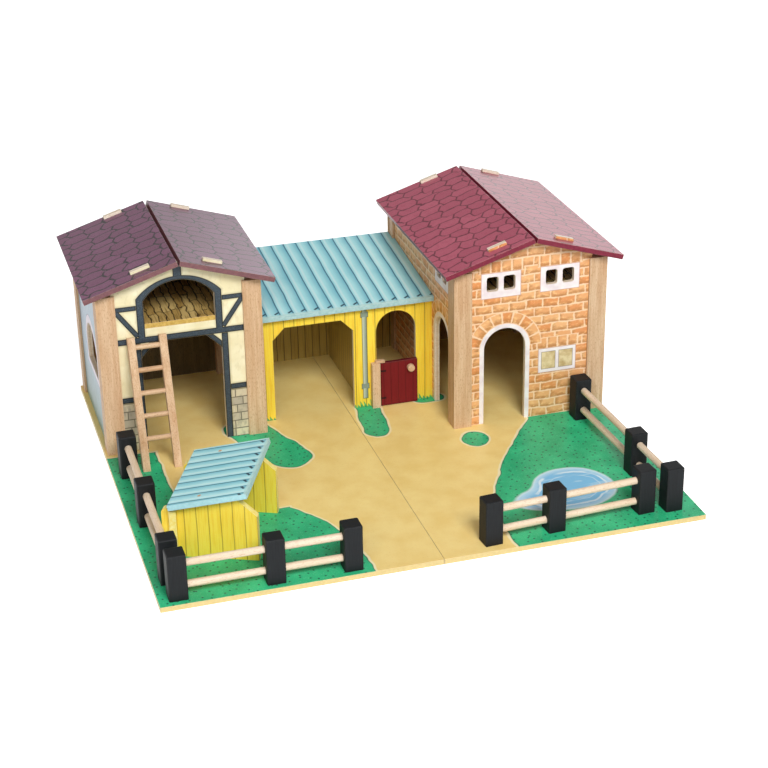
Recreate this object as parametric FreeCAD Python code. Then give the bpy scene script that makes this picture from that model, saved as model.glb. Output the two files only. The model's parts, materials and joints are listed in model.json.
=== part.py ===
"""Wooden toy farmyard: a barn, a stable and a farmhouse on a two-piece ground board, with a loose
sty, a ladder and four loose fences.

Millimetres. +X runs right along the front edge, +Y to the back, +Z up. The origin is the middle of
the ground board's underside. Heights named *_height are measured up from the board's top face.
"""
import FreeCAD
import Part
import math
import os

V = FreeCAD.Vector

# Boards and fits
base_thickness = 6.0
wall_thickness = 6.0
roof_thickness = 6.0
floor_thickness = 6.0
fit_gap = 0.1            # each side of a board in its groove or slot
edge_gap = 0.3           # end of a board short of the groove's bottom, and loose pieces beside others
pin_gap = 0.05           # radial, pins and rails in their holes
cut_overrun = 2.0        # how far every cutting solid runs past what it cuts
seam_gap = 0.4           # between the two halves of the ground board

# Corner posts and the walls between them
post_side = 22.0
post_height = 197.0
groove_depth = 4.0
wall_setback = 3.0       # wall face behind the post face

# Buildings
building_width = 190.6
barn_depth = 202.5
house_depth = 265.5
side_margin = 2.95       # ground board beside the outer posts
yard_depth = 282.5       # ground in front of the house

# Barn and house roofs
roof_pitch = 17.2
roof_post_gap = 3.0      # roof underside above the post's outer top edge
eave_overhang = 15.0
ridge_half_gap = 2.2
front_overhang = 12.5
tenon_length = 23.0
tenon_proud = 3.0
tenon_gap = 0.3
tenon_slope_share = 0.64

# Barn openings
barn_door_width = 94.0
barn_door_height = 135.0
barn_door_chamfer = 18.0
loft_sill_height = 152.5
loft_width = 82.0
loft_spring_height = 186.0
loft_arch_rise = 21.5
barn_window_width = 76.0
barn_window_sill_height = 72.0
barn_window_spring_height = 104.0
barn_window_rise = 24.0
barn_window_place_share = 0.568

# House openings
house_door_width = 52.0
house_door_crown_height = 121.5
house_door_offset = -31.2      # from the middle of the front
side_door_from_front = 55.5
upper_floor_height = 153.5
floor_groove_depth = 2.5
pane_width = 14.5
pane_height = 18.3
pane_sill_height = 169.7
pane_radius = 3.0
pane_offset = 10.5             # pane centre from the middle of its pair
front_pair_offset = 36.7       # pair centre from the middle of the front
right_pair_place_shares = (0.27, 0.73)

# Stable
stable_setback = 29.7          # stable front behind the barn front
stable_pitch = 6.2
stable_front_overhang = 9.2
stable_back_margin = 2.0       # roof edge short of the ground board's back edge
stable_roof_side_gap = 0.5
shed_left_jamb = 20.4
shed_width = 99.0
shed_height = 119.0
shed_head = 14.5               # front wall left above the shed opening
shed_chamfer = 15.0
pier_width = 28.5
stall_width = 50.0
stall_above_shed = 3.5         # stall crown above the top of the shed opening
stall_right_jamb = 21.0
foot_tab_length = 12.0
foot_tab_short = 0.5           # tab ends above the board's underside

# Stable door
door_width = 46.9
door_thickness = 5.0
door_top_height = 58.0
door_floor_gap = 0.8
door_wall_gap = 0.5
door_block_gap = 0.8
door_free_margin = 0.2         # door edge past the stall opening
hinge_block_width = 10.0
hinge_block_depth = 8.2
hinge_tab_length = 11.5
hinge_tab_thickness = 3.0
hinge_tab_gap = 0.4            # between door top and tab
hinge_pin_diameter = 2.0
hinge_pin_seat = 8.0           # pin length inside the door
hinge_pin_base_depth = 4.0
hinge_pin_tab_depth = 2.0
knob_diameter = 8.8
knob_length = 6.0
knob_spigot_diameter = 4.0
knob_spigot_length = 3.0
knob_edge_distance = 9.0
knob_top_distance = 9.8
knob_round = 1.0

# Screws up through the ground board into the posts
screw_shank_diameter = 3.5
screw_head_diameter = 7.0
screw_head_recess = 0.3
screw_length = 24.0
screw_hole_gap = 0.3

# Sty, in its own frame: x from the back to the open front, y across
sty_board = 8.0
sty_length = 102.0
sty_width = 109.3
sty_pitch = 12.9
sty_ear_width = 8.5
sty_ear_height = 56.3
sty_ear_round = 5.0
sty_back_seat_height = 58.2
sty_front_chamfer = 24.4
sty_front_height = 52.0
sty_back_height = 54.0
sty_back_proud = 3.0
sty_roof_thickness = 6.0
sty_roof_length = 86.2
sty_roof_side_overhang = 9.1
sty_peg_diameter = 4.0
sty_peg_depth = 8.0
sty_peg_place_share = 0.4
sty_yaw = -24.5
sty_from_left = 138.5          # middle of the open front from the ground board's left edge
sty_from_front = 108.3         # and from its front edge

# Ladder
ladder_length = 151.5
ladder_width = 45.0
ladder_lean = 18.0
ladder_from_barn_middle = -40.7
stile_width = 8.5
stile_depth = 9.0
rung_diameter = 6.0
rung_count = 5
rung_pitch = 26.5
top_rung_distance = 11.5
rung_seat = 6.0

# Fences
fence_post_side = 20.0
fence_post_height = 52.0
fence_post_round = 1.6
rail_diameter = 8.0
lower_rail_height = 12.8
upper_rail_height = 38.0
rail_seat = 12.0

# Where each fence stands: gaps from the ground board's edges or seam, turn, and post spacings
left_fence_side_gap = 8.4
left_fence_front_gap = 40.6
left_fence_barn_gap = 43.4     # last post short of the barn front
left_fence_yaw = 90.0
left_fence_first_span = 125.0
front_left_fence_side_gap = 10.7
front_left_fence_front_gap = 6.5
front_left_fence_yaw = 0.0
front_left_fence_first_span = 101.5
front_left_fence_second_span = 82.0
front_right_fence_seam_gap = 49.3
front_right_fence_front_gap = 9.3
front_right_fence_yaw = 3.9
front_right_fence_first_span = 73.5
front_right_fence_second_span = 107.5
right_fence_side_gap = 19.5
right_fence_front_gap = 18.0
right_fence_house_gap = 4.0     # last post short of the house front
right_fence_yaw = 92.0
right_fence_first_span = 89.0

# Places worked out from the sizes above
stable_width = shed_left_jamb + shed_width + pier_width + stall_width + stall_right_jamb
between_posts = stable_width - 2 * wall_setback
base_width = 2 * side_margin + 2 * building_width + between_posts
base_depth = yard_depth + house_depth
base_left = -base_width / 2
base_back = base_depth / 2
base_front = -base_back
floor_z = base_thickness
barn_left = base_left + side_margin
barn_front = base_back - barn_depth
house_left = barn_left + building_width + between_posts
house_front = base_back - house_depth
panel_width = building_width - 2 * post_side
tongue = groove_depth - edge_gap
pitch_rise = math.tan(math.radians(roof_pitch))
pitch_sin = math.sin(math.radians(roof_pitch))
pitch_cos = math.cos(math.radians(roof_pitch))
roof_run = (panel_width / 2 - ridge_half_gap + post_side + eave_overhang) / pitch_cos
stable_front_height = shed_height + shed_head
stall_crown_height = shed_height + stall_above_shed
sty_front_x = base_left + sty_from_left
sty_front_y = base_front + sty_from_front
left_fence_start = base_front + left_fence_front_gap
left_fence_end = barn_front - left_fence_barn_gap - fence_post_side
left_fence_second_span = left_fence_end - left_fence_start - left_fence_first_span
right_fence_start = base_front + right_fence_front_gap
right_fence_end = house_front - right_fence_house_gap - fence_post_side
right_fence_second_span = right_fence_end - right_fence_start - right_fence_first_span

parts = {}


def block(low, high):
    """Box between two corners given as (x, y, z)."""
    low = V(*low)
    size = V(*high).sub(low)
    return Part.makeBox(size.x, size.y, size.z, low)


def place(shape, origin, yaw=0.0):
    """Copy of a shape, with any placement of its own, turned about Z and moved."""
    moved = shape.copy()
    turn = FreeCAD.Placement(V(*origin), FreeCAD.Rotation(V(0, 0, 1), yaw))
    moved.Placement = turn.multiply(shape.Placement)
    return moved


def sheet(points, thickness, start=0.0):
    """Flat board: a closed outline of (x, z) points, from y = start to start + thickness."""
    corners = [V(x, start, z) for x, z in points]
    wire = Part.makePolygon(corners + corners[:1])
    return Part.Face(wire).extrude(V(0, thickness, 0))


def arch(centre, width, bottom, spring, rise, thickness, start=0.0):
    """Board with straight sides and a circular arc on top, in the XZ plane."""
    left = V(centre - width / 2, start, spring)
    right = V(centre + width / 2, start, spring)
    crown = V(centre, start, spring + rise)
    low_left = V(left.x, start, bottom)
    low_right = V(right.x, start, bottom)
    edges = [Part.LineSegment(low_right, right).toShape(), Part.Arc(right, crown, left).toShape(),
             Part.LineSegment(left, low_left).toShape(), Part.LineSegment(low_left, low_right).toShape()]
    return Part.Face(Part.Wire(edges)).extrude(V(0, thickness, 0))


def rounded_pane(centre, bottom):
    """Cutter for one window pane with rounded corners, through a wall."""
    depth = wall_thickness + 2 * cut_overrun
    solid = block((centre - pane_width / 2, -cut_overrun, bottom),
                  (centre + pane_width / 2, depth - cut_overrun, bottom + pane_height))
    across = [edge for edge in solid.Edges if abs(edge.tangentAt(edge.FirstParameter).y) > 0.5]
    return solid.makeFillet(pane_radius, across)


def pane_pair(centre):
    """Cutters for the two panes of one window."""
    sill = floor_z + pane_sill_height
    return [rounded_pane(centre - pane_offset, sill), rounded_pane(centre + pane_offset, sill)]


def through_arch(centre, width, bottom, spring, rise):
    """Cutter for an arched opening through a wall."""
    return arch(centre, width, bottom, spring, rise, wall_thickness + 2 * cut_overrun, -cut_overrun)


def through_doorway(centre, width, top, chamfer):
    """Cutter for a doorway from the floor up, with chamfered top corners."""
    bottom = floor_z - cut_overrun
    left = centre - width / 2
    right = centre + width / 2
    points = [(left, bottom), (right, bottom), (right, top - chamfer), (right - chamfer, top),
              (left + chamfer, top), (left, top - chamfer)]
    return sheet(points, wall_thickness + 2 * cut_overrun, -cut_overrun)


def round_doorway(centre, width, crown):
    """Cutter for a doorway from the floor up, with a half-round top."""
    radius = width / 2
    return through_arch(centre, width, floor_z - cut_overrun, floor_z + crown - radius, radius)


def seat_height(x):
    """Height of the roof's underside over a gable wall, x from the left post's inner face."""
    inward = post_side + min(x, panel_width - x)
    return floor_z + post_height + roof_post_gap + inward * pitch_rise


def gable_tenon(side):
    """Tenon standing square on one slope of a gable wall, with its root inside the wall."""
    eave_x = -post_side - eave_overhang + roof_thickness * pitch_sin
    middle = tenon_slope_share * roof_run
    half = tenon_length / 2
    root = -wall_thickness
    tip = roof_thickness + tenon_proud
    points = []
    for along, up in ((-half, root), (half, root), (half, tip), (-half, tip)):
        run = middle + along
        x = eave_x + run * pitch_cos - up * pitch_sin
        z = seat_height(eave_x) + run * pitch_rise * pitch_cos + up * pitch_cos
        points.append((x if side < 0 else panel_width - x, z))
    return sheet(points, wall_thickness)


def gable_wall(cutters):
    """Gable wall with its tongues and two roof tenons, less its openings."""
    points = [(-tongue, floor_z), (panel_width + tongue, floor_z),
              (panel_width + tongue, seat_height(panel_width + tongue)),
              (panel_width / 2, seat_height(panel_width / 2)), (-tongue, seat_height(-tongue))]
    wall = sheet(points, wall_thickness)
    for side in (-1, 1):
        wall = wall.fuse(gable_tenon(side))
    wall = wall.removeSplitter()
    for cutter in cutters:
        wall = wall.cut(cutter)
    return wall


def side_wall(length, cutters):
    """Straight side wall with its tongues, less its openings."""
    wall = block((-tongue, 0, floor_z), (length + tongue, wall_thickness, floor_z + post_height))
    for cutter in cutters:
        wall = wall.cut(cutter)
    return wall


def groove(length):
    """Cutter for the post grooves at both ends of a wall of this clear length."""
    top = floor_z + post_height + cut_overrun
    return block((-groove_depth, -fit_gap, floor_z - cut_overrun),
                 (length + groove_depth, wall_thickness + fit_gap, top))


def wall_frames(left, front, depth):
    """Origin, yaw and clear length of each wall; y points inwards in every wall's own frame."""
    right = left + building_width
    back = front + depth
    inner = depth - 2 * post_side
    return {
        "front": ((left + post_side, front + wall_setback, 0), 0.0, panel_width),
        "right": ((right - wall_setback, front + post_side, 0), 90.0, inner),
        "back": ((right - post_side, back - wall_setback, 0), 180.0, panel_width),
        "left": ((left + wall_setback, back - post_side, 0), -90.0, inner),
    }


def post_corners(left, front, depth):
    """Low corner of each post's foot."""
    right = left + building_width - post_side
    back = front + depth - post_side
    return {"front_left": (left, front), "front_right": (right, front),
            "back_left": (left, back), "back_right": (right, back)}


def roof_panel(eave, yaw, length, slots):
    """Sloping roof board; slots are the tenon places along its length from its own y = 0 end."""
    panel = block((0, 0, 0), (roof_run, length, roof_thickness))
    half_x = tenon_length / 2 + tenon_gap
    half_y = wall_thickness / 2 + tenon_gap
    middle = tenon_slope_share * roof_run
    for y in slots:
        panel = panel.cut(block((middle - half_x, y - half_y, -cut_overrun),
                                (middle + half_x, y + half_y, roof_thickness + cut_overrun)))
    slope = FreeCAD.Rotation(V(0, 1, 0), -roof_pitch)
    panel.Placement = FreeCAD.Placement(V(*eave), FreeCAD.Rotation(V(0, 0, 1), yaw).multiply(slope))
    return panel


def building(name, left, front, depth, cutters):
    """Posts, walls and roof panels of one building."""
    frames = wall_frames(left, front, depth)
    for side, (origin, yaw, length) in frames.items():
        own = cutters.get(side, [])
        wall = gable_wall(own) if side in ("front", "back") else side_wall(length, own)
        parts[name + "_" + side + "_wall"] = place(wall, origin, yaw)
    grooves = [place(groove(length), origin, yaw) for origin, yaw, length in frames.values()]
    for corner, (x, y) in post_corners(left, front, depth).items():
        post = block((x, y, floor_z), (x + post_side, y + post_side, floor_z + post_height))
        for cutter in grooves:
            post = post.cut(cutter)
        parts[name + "_post_" + corner] = post
    length = front_overhang + depth
    inset = wall_setback + wall_thickness / 2
    slots = (front_overhang + inset, length - inset)
    eave_in = eave_overhang - roof_thickness * pitch_sin
    eave_z = seat_height(-post_side - eave_in)
    left_eave = (left - eave_in, front - front_overhang, eave_z)
    right_eave = (left + building_width + eave_in, front + depth, eave_z)
    turned = [length - y for y in slots]
    parts[name + "_roof_left"] = roof_panel(left_eave, 0.0, length, slots)
    parts[name + "_roof_right"] = roof_panel(right_eave, 180.0, length, turned)


def room_floor(left, front, depth, bottom, front_reach, back_reach, reach_width):
    """Upper floor board between the walls, notched round the posts, with a tongue at each end."""
    wall_in = wall_setback + wall_thickness + edge_gap
    notch = post_side + edge_gap
    right = left + building_width
    back = front + depth
    board = block((left + wall_in, front + notch, bottom),
                  (right - wall_in, back - notch, bottom + floor_thickness))
    middle = block((left + notch, front + wall_in, bottom),
                   (right - notch, back - wall_in, bottom + floor_thickness))
    centre = left + building_width / 2
    wall_front = front + wall_setback + wall_thickness
    wall_back = back - wall_setback - wall_thickness
    reach = block((centre - reach_width / 2, wall_front - front_reach, bottom),
                  (centre + reach_width / 2, wall_back + back_reach, bottom + floor_thickness))
    return board.fuse([middle, reach]).removeSplitter()


def floor_slot(width, bottom, depth):
    """Cutter, in a wall's own frame, for a floor tongue let into the inner face."""
    middle = panel_width / 2
    half = width / 2 + fit_gap
    top = bottom + floor_thickness + fit_gap
    return block((middle - half, wall_thickness - depth, bottom),
                 (middle + half, wall_thickness + cut_overrun, top))


def make_barn():
    """Barn with a timbered front, a chamfered doorway and an arched hayloft."""
    middle = panel_width / 2
    sill = floor_z + loft_sill_height
    doorway = through_doorway(middle, barn_door_width, floor_z + barn_door_height, barn_door_chamfer)
    hayloft = through_arch(middle, loft_width, sill, floor_z + loft_spring_height, loft_arch_rise)
    window_place = barn_window_place_share * (barn_depth - 2 * post_side)
    window = through_arch(window_place, barn_window_width, floor_z + barn_window_sill_height,
                          floor_z + barn_window_spring_height, barn_window_rise)
    tongue_width = loft_width - 2 * edge_gap
    cutters = {"front": [doorway, hayloft], "left": [window],
               "back": [floor_slot(tongue_width, sill, floor_groove_depth + edge_gap)]}
    building("barn", barn_left, barn_front, barn_depth, cutters)
    parts["barn_loft_floor"] = room_floor(barn_left, barn_front, barn_depth, sill, wall_thickness,
                                          floor_groove_depth, tongue_width)


def make_house():
    """Brick farmhouse with round-topped doorways and paired windows."""
    middle = panel_width / 2
    floor_bottom = floor_z + upper_floor_height
    inner = house_depth - 2 * post_side
    let_in = floor_slot(panel_width / 2, floor_bottom, floor_groove_depth + edge_gap)
    front = [round_doorway(middle + house_door_offset, house_door_width, house_door_crown_height), let_in]
    for side in (-1, 1):
        front += pane_pair(middle + side * front_pair_offset)
    side_middle = inner - (side_door_from_front - post_side)
    left = [round_doorway(side_middle, house_door_width, house_door_crown_height)]
    left += pane_pair(side_middle)
    right = []
    for share in right_pair_place_shares:
        right += pane_pair(share * inner)
    cutters = {"front": front, "left": left, "right": right, "back": [let_in]}
    building("house", house_left, house_front, house_depth, cutters)
    parts["house_upper_floor"] = room_floor(house_left, house_front, house_depth, floor_bottom,
                                            floor_groove_depth, floor_groove_depth, panel_width / 2)


def stable_seat(y):
    """Height of the stable roof's underside at a place from front to back."""
    return floor_z + stable_front_height + (y - stable_front) * math.tan(math.radians(stable_pitch))


def slope_cutter(x0, x1):
    """Everything above the stable roof's underside, to trim the walls below it."""
    near = stable_front - stable_front_overhang - cut_overrun
    far = base_back + cut_overrun
    top = stable_seat(far) + post_height
    points = [V(x0, near, stable_seat(near)), V(x0, far, stable_seat(far)),
              V(x0, far, top), V(x0, near, top)]
    return Part.Face(Part.makePolygon(points + points[:1])).extrude(V(x1 - x0, 0, 0))


def foot_tab(centre, y):
    """Tab on a wall's foot that goes into a slot in the ground board."""
    return block((centre - foot_tab_length / 2, y, foot_tab_short),
                 (centre + foot_tab_length / 2, y + wall_thickness, floor_z))


def tab_slot(centre, y):
    """Slot through the ground board for a foot tab."""
    half = foot_tab_length / 2 + fit_gap
    return block((centre - half, y - fit_gap, -cut_overrun),
                 (centre + half, y + wall_thickness + fit_gap, floor_z + cut_overrun))


stable_front = barn_front + stable_setback
stable_left = barn_left + building_width - wall_setback
shed_middle = stable_left + shed_left_jamb + shed_width / 2
stall_left = stable_left + shed_left_jamb + shed_width + pier_width
stall_middle = stall_left + stall_width / 2
pier_middle = stall_left - pier_width / 2
stable_back_wall_y = base_back - wall_setback - wall_thickness
tab_places = [(stable_left + shed_left_jamb / 2, stable_front), (pier_middle, stable_front),
              (stable_left + stable_width - stall_right_jamb / 2, stable_front),
              (shed_middle, stable_back_wall_y), (stall_middle, stable_back_wall_y)]


def make_stable():
    """Low stable between the two buildings: front and back walls, a partition and a sloping roof."""
    right = stable_left + stable_width
    high = floor_z + post_height
    trim = slope_cutter(stable_left - cut_overrun, right + cut_overrun)
    front = block((stable_left, stable_front, floor_z), (right, stable_front + wall_thickness, high))
    shed = through_doorway(shed_middle, shed_width, floor_z + shed_height, shed_chamfer)
    stall = round_doorway(stall_middle, stall_width, stall_crown_height)
    front = front.cut(trim).cut(place(shed, (0, stable_front, 0))).cut(place(stall, (0, stable_front, 0)))
    barn_face = barn_left + building_width
    back_left = barn_face - tongue
    back_right = house_left + tongue
    back = block((back_left, stable_back_wall_y, floor_z),
                 (back_right, stable_back_wall_y + wall_thickness, high))
    back = back.cut(trim)
    for x, y in tab_places:
        if y == stable_front:
            front = front.fuse(foot_tab(x, y))
        else:
            back = back.fuse(foot_tab(x, y))
    parts["stable_front_wall"] = front.removeSplitter()
    parts["stable_back_wall"] = back.removeSplitter()
    partition = block((pier_middle - wall_thickness / 2, stable_front + wall_thickness, floor_z),
                      (pier_middle + wall_thickness / 2, stable_back_wall_y, high))
    parts["stable_partition"] = partition.cut(trim)
    back_groove = block(
        (barn_face - groove_depth, stable_back_wall_y - fit_gap, floor_z - cut_overrun),
        (house_left + groove_depth, stable_back_wall_y + wall_thickness + fit_gap, high + cut_overrun))
    for node in ("barn_post_back_right", "house_post_back_left"):
        parts[node] = parts[node].cut(back_groove)
    roof_left = barn_face + stable_roof_side_gap
    roof_right = right - stable_roof_side_gap
    near = stable_front - stable_front_overhang
    far = base_back - stable_back_margin
    length = (far - near) / math.cos(math.radians(stable_pitch))
    roof = block((0, 0, 0), (roof_right - roof_left, length, roof_thickness))
    tilt = FreeCAD.Rotation(V(1, 0, 0), stable_pitch)
    roof.Placement = FreeCAD.Placement(V(roof_left, near, stable_seat(near)), tilt)
    clear_post = block((house_left - edge_gap, base_back - post_side - edge_gap, floor_z),
                       (house_left + post_side, base_back, high + post_height))
    parts["stable_roof"] = roof.cut(clear_post)


door_right = stall_left + stall_width + door_free_margin
door_left = door_right - door_width
door_back = stable_front - door_wall_gap
door_axis_x = door_left + door_thickness / 2
door_axis_y = door_back - door_thickness / 2
hinge_block_right = door_left - door_block_gap
hinge_block_top = floor_z + door_top_height + hinge_tab_gap


def make_door():
    """Half door swinging on two steel pins between the ground board and a tab on the hinge block."""
    bottom = floor_z + door_floor_gap
    top = floor_z + door_top_height
    height = top - bottom
    axis_foot = V(door_axis_x, door_axis_y, bottom)
    door = block((door_axis_x, door_back - door_thickness, bottom), (door_right, door_back, top))
    door = door.fuse(Part.makeCylinder(door_thickness / 2, height, axis_foot)).removeSplitter()
    pin_radius = hinge_pin_diameter / 2
    low_pin_foot = V(door_axis_x, door_axis_y, floor_z - hinge_pin_base_depth)
    low_pin_length = hinge_pin_base_depth + door_floor_gap + hinge_pin_seat
    low_pin = Part.makeCylinder(pin_radius, low_pin_length, low_pin_foot)
    high_pin_foot = V(door_axis_x, door_axis_y, top - hinge_pin_seat)
    high_pin_length = hinge_pin_seat + hinge_tab_gap + hinge_pin_tab_depth
    high_pin = Part.makeCylinder(pin_radius, high_pin_length, high_pin_foot)
    bore = pin_radius + pin_gap
    door = door.cut(Part.makeCylinder(bore, hinge_pin_seat, axis_foot))
    door = door.cut(Part.makeCylinder(bore, hinge_pin_seat, high_pin_foot))
    knob_foot = V(door_right - knob_edge_distance, door_back - door_thickness, top - knob_top_distance)
    outward = V(0, -1, 0)
    inward = V(0, 1, 0)
    knob = Part.makeCylinder(knob_diameter / 2, knob_length, knob_foot, outward)
    knob_middle = knob_foot.y - knob_length / 2
    rim = [edge for edge in knob.Edges if edge.Closed and edge.CenterOfMass.y < knob_middle]
    knob = knob.makeFillet(knob_round, rim)
    spigot = Part.makeCylinder(knob_spigot_diameter / 2, knob_spigot_length, knob_foot, inward)
    socket_radius = knob_spigot_diameter / 2 + pin_gap
    socket = Part.makeCylinder(socket_radius, knob_spigot_length + edge_gap, knob_foot, inward)
    parts["stable_door"] = door.cut(socket)
    parts["door_knob"] = knob.fuse(spigot)
    parts["door_hinge_pins"] = Part.makeCompound([low_pin, high_pin])
    parts["door_hinge_block"] = block(
        (hinge_block_right - hinge_block_width, stable_front - hinge_block_depth, floor_z),
        (hinge_block_right, stable_front, hinge_block_top))
    tab_left = hinge_block_right - hinge_block_width / 2
    tab = block((tab_left, door_back - door_thickness, hinge_block_top),
                (tab_left + hinge_tab_length, stable_front, hinge_block_top + hinge_tab_thickness))
    tab_hole_foot = V(door_axis_x, door_axis_y, hinge_block_top)
    tab_hole = Part.makeCylinder(bore, hinge_pin_tab_depth + edge_gap, tab_hole_foot)
    parts["door_hinge_tab"] = tab.cut(tab_hole)


def screw_solid(x, y, gap):
    """Countersunk screw pointing up from the underside; a gap makes the clearance hole for it."""
    shank = screw_shank_diameter / 2 + gap
    head = screw_head_diameter / 2 + gap
    taper = head - shank
    foot = screw_head_recess - gap
    cone = Part.makeCone(head, shank, taper, V(x, y, foot))
    return cone.fuse(Part.makeCylinder(shank, screw_length - foot, V(x, y, foot))).removeSplitter()


def make_base():
    """Two ground boards with screw holes, tab slots and the door's pivot hole; screws into the posts."""
    board = block((base_left, base_front, 0), (-base_left, base_back, floor_z))
    screws = []
    corners = {}
    for name, left, front, depth in (("barn", barn_left, barn_front, barn_depth),
                                     ("house", house_left, house_front, house_depth)):
        for corner, (x, y) in post_corners(left, front, depth).items():
            corners[name + "_post_" + corner] = (x + post_side / 2, y + post_side / 2)
    for node, (x, y) in corners.items():
        screws.append(screw_solid(x, y, 0.0))
        hole = screw_solid(x, y, screw_hole_gap)
        sink_radius = screw_head_diameter / 2 + screw_hole_gap
        sink = Part.makeCylinder(sink_radius, screw_head_recess + cut_overrun, V(x, y, -cut_overrun))
        board = board.cut(hole).cut(sink)
        pilot_radius = screw_shank_diameter / 2 + pin_gap
        pilot = Part.makeCylinder(pilot_radius, screw_length - floor_z, V(x, y, floor_z))
        parts[node] = parts[node].cut(pilot)
    for x, y in tab_places:
        board = board.cut(tab_slot(x, y))
    pivot_foot = V(door_axis_x, door_axis_y, floor_z - hinge_pin_base_depth - edge_gap)
    board = board.cut(Part.makeCylinder(hinge_pin_diameter / 2 + pin_gap,
                                        hinge_pin_base_depth + edge_gap + cut_overrun, pivot_foot))
    half = base_width / 2 - seam_gap / 2
    left_half = block((base_left, base_front, 0), (base_left + half, base_back, floor_z))
    right_half = block((-base_left - half, base_front, 0), (-base_left, base_back, floor_z))
    parts["base_board_left"] = board.common(left_half)
    parts["base_board_right"] = board.common(right_half)
    parts["post_screws"] = Part.makeCompound(screws)


def make_sty():
    """Loose lean-to sty: two side walls crossed by a back wall, and a roof pegged to the side walls."""
    rise = math.tan(math.radians(sty_pitch))
    roof_back = sty_ear_width
    chamfer_x = sty_length - sty_front_chamfer
    chamfer_z = sty_back_seat_height + (chamfer_x - roof_back) * rise
    front_foot = (sty_front_x, sty_front_y, floor_z)
    far_y = sty_width / 2 - sty_board
    back_x = sty_ear_width - sty_length
    lap_height = sty_back_height / 2
    notch = block((back_x - fit_gap, -sty_width, lap_height),
                  (back_x + sty_board + fit_gap, sty_width, sty_ear_height + cut_overrun))
    outline = [(-sty_length, 0), (0, 0), (0, sty_front_height), (-sty_front_chamfer, chamfer_z),
               (back_x, sty_back_seat_height), (back_x, sty_ear_height), (-sty_length, sty_ear_height)]
    pegs = []
    peg_holes = []
    slope = FreeCAD.Rotation(V(0, 1, 0), -sty_pitch)
    roof_seat = FreeCAD.Placement(V(back_x, 0, sty_back_seat_height), slope)
    half_roof = sty_width / 2 + sty_roof_side_overhang
    peg_length = sty_peg_depth + sty_roof_thickness
    peg_x = sty_peg_place_share * sty_roof_length
    for side in (-1, 1):
        peg_foot = V(peg_x, side * (sty_width - sty_board) / 2, -sty_peg_depth)
        peg = Part.makeCylinder(sty_peg_diameter / 2, peg_length, peg_foot)
        hole = Part.makeCylinder(sty_peg_diameter / 2 + pin_gap, peg_length + cut_overrun, peg_foot)
        peg.Placement = roof_seat
        hole.Placement = roof_seat
        pegs.append(place(peg, front_foot, sty_yaw))
        peg_holes.append(hole)
    near_y = -sty_width / 2
    sides = (("sty_near_wall", near_y), ("sty_far_wall", far_y))
    for (node, start), hole in zip(sides, peg_holes):
        wall = sheet(outline, sty_board, start)
        ear = [edge for edge in wall.Edges if is_ear_edge(edge)]
        wall = wall.makeFillet(sty_ear_round, ear).cut(notch).cut(hole)
        parts[node] = place(wall, front_foot, sty_yaw)
    half_back = sty_width / 2 + sty_back_proud
    back = block((back_x, -half_back, 0), (back_x + sty_board, half_back, sty_back_height))
    for start in (near_y, far_y):
        back = back.cut(block((back_x - cut_overrun, start - fit_gap, -cut_overrun),
                              (back_x + sty_board + cut_overrun, start + sty_board + fit_gap, lap_height)))
    parts["sty_back_wall"] = place(back, front_foot, sty_yaw)
    roof_start = sty_roof_thickness * rise + edge_gap
    roof = block((roof_start, -half_roof, 0), (roof_start + sty_roof_length, half_roof, sty_roof_thickness))
    roof.Placement = roof_seat
    for hole in peg_holes:
        roof = roof.cut(hole)
    parts["sty_roof"] = place(roof, front_foot, sty_yaw)
    parts["sty_roof_pegs"] = Part.makeCompound(pegs)


def is_ear_edge(edge):
    """True for the top back edge of the sty's side wall, which is rounded over."""
    middle = edge.CenterOfMass
    return abs(middle.x + sty_length) < fit_gap and abs(middle.z - sty_ear_height) < fit_gap


def make_ladder():
    """Ladder leaning on the barn front: two stiles cut level at the foot, and round rungs."""
    lean = math.radians(ladder_lean)
    middle = barn_left + building_width / 2 + ladder_from_barn_middle
    wall_face = barn_front + wall_setback
    foot = V(middle, wall_face - edge_gap - ladder_length * math.sin(lean), floor_z)
    seat = FreeCAD.Placement(foot, FreeCAD.Rotation(V(1, 0, 0), -ladder_lean))
    below = block((middle - ladder_width, foot.y - ladder_length, floor_z - ladder_length),
                  (middle + ladder_width, foot.y + ladder_length, floor_z))
    extra = stile_depth * math.tan(lean) + cut_overrun
    rungs = []
    holes = []
    for k in range(rung_count):
        up = ladder_length - top_rung_distance - k * rung_pitch
        reach = ladder_width / 2 - stile_width + rung_seat
        start = V(-reach, -stile_depth / 2, up)
        rung = Part.makeCylinder(rung_diameter / 2, 2 * reach, start, V(1, 0, 0))
        hole = Part.makeCylinder(rung_diameter / 2 + pin_gap, 2 * (reach + edge_gap),
                                 V(-reach - edge_gap, -stile_depth / 2, up), V(1, 0, 0))
        rung.Placement = seat
        rungs.append(rung)
        holes.append(hole)
    half = ladder_width / 2
    for node, x in (("ladder_stile_left", -half), ("ladder_stile_right", half - stile_width)):
        stile = block((x, -stile_depth, -extra), (x + stile_width, 0, ladder_length))
        for hole in holes:
            stile = stile.cut(hole)
        stile.Placement = seat
        parts[node] = stile.cut(below)
    parts["ladder_rungs"] = Part.makeCompound(rungs)


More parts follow.
